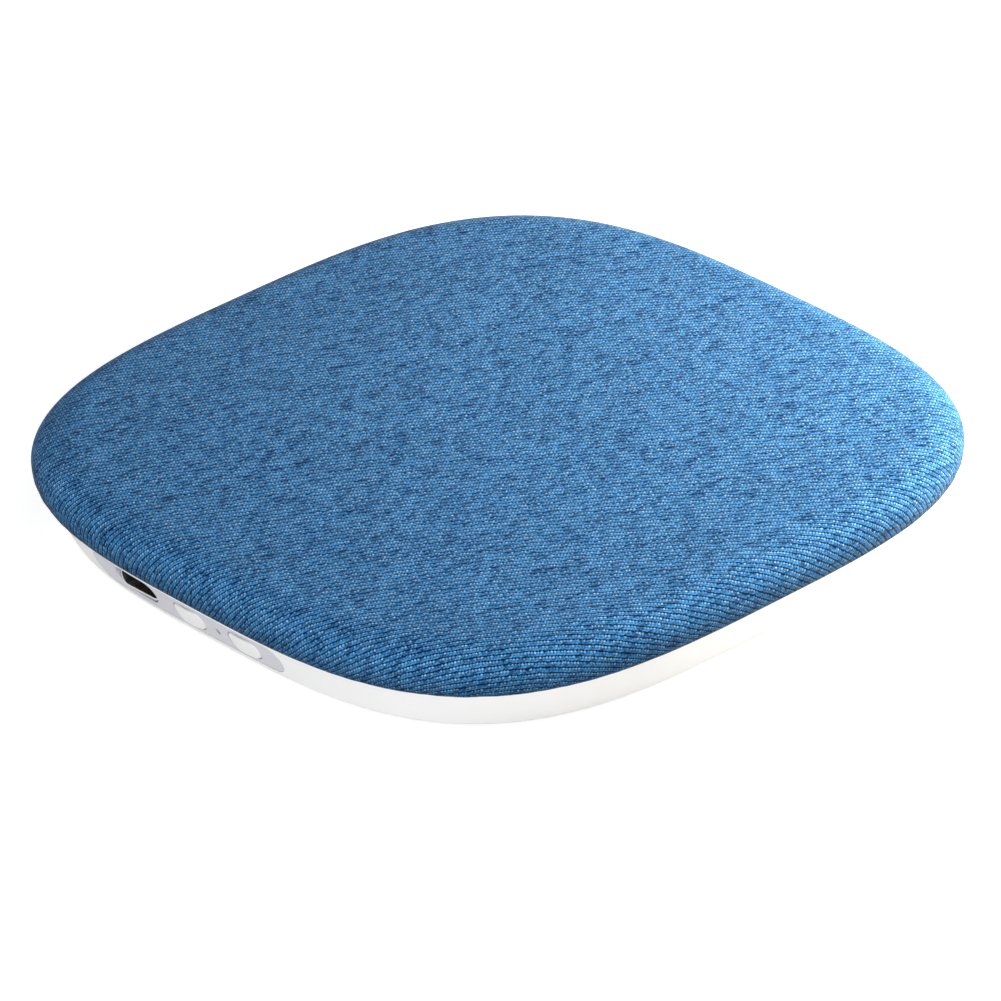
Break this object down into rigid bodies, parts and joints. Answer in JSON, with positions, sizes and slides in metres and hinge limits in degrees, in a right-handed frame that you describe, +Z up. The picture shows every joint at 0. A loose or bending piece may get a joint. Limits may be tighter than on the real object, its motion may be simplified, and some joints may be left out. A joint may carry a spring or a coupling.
{
  "type": "pillow speaker",
  "caption": "Thin rounded-square pillow speaker: padded blue denim top on a white tapered case with a grey side strip of port, oval push buttons and pinhole.",
  "frame": {"origin": "centre of the underside, on the surface that the base pad stands on", "axes": "+Z up through the thin direction, the control strip faces -Y, and the charging port is at its -X end"},
  "size_m": [0.12, 0.12, 0.0164],
  "materials": {
    "denim": "blue cotton twill",
    "foam": "open cell foam",
    "white_shell": "fine matt moulding",
    "silicone": "matt silicone",
    "grey_strip": "satin moulding",
    "button": "satin moulding",
    "black_plastic": "moulded",
    "sheet_steel": "plated sheet",
    "contact": "gold plated",
    "black_rubber": "soft silicone",
    "board": "solder mask on glass laminate",
    "ceramic": "glazed ceramic and nylon",
    "pouch": "laminated foil",
    "mesh": "woven mesh",
    "basket": "black coated steel",
    "pot": "zinc plated",
    "cone": "pressed film",
    "red_lead": "insulated wire",
    "black_lead": "insulated wire",
    "screw_steel": "zinc plated"
  },
  "bodies": {
    "speaker": {"denim_cover": "denim", "foam_pad": "foam", "top_shell": "white_shell", "bottom_shell": "white_shell", "base_pad": "silicone", "control_strip": "grey_strip", "left_switch": "sheet_steel", "right_switch": "sheet_steel", "port_shell": "sheet_steel", "port_tongue": "black_plastic", "port_contacts": "contact", "microphone": "sheet_steel", "microphone_boot": "black_rubber", "main_board": "board", "audio_chip": "black_plastic", "power_chip": "black_plastic", "memory_chip": "black_plastic", "inductor": "black_plastic", "crystal": "sheet_steel", "small_parts": "ceramic", "lead_headers": "ceramic", "battery": "pouch", "battery_tape": "foam", "left_mesh": "mesh", "right_mesh": "mesh", "left_gasket": "foam", "right_gasket": "foam", "left_basket": "basket", "right_basket": "basket", "left_magnet": "pot", "right_magnet": "pot", "left_cone": "cone", "right_cone": "cone", "battery_leads": "red_lead", "driver_leads": "black_lead", "case_screws": "screw_steel", "board_screws": "screw_steel"},
    "left_key": {"left_button": "button", "left_plunger": "black_plastic"},
    "right_key": {"right_button": "button", "right_plunger": "black_plastic"}
  },
  "joints": [
    {"name": "left_press", "type": "slide", "parent": "speaker", "child": "left_key", "axis": [0, 1, 0], "range_m": [0, 0.00035], "stiffness_N_per_m": 400},
    {"name": "right_press", "type": "slide", "parent": "speaker", "child": "right_key", "axis": [0, 1, 0], "range_m": [0, 0.00035], "stiffness_N_per_m": 400}
  ]
}
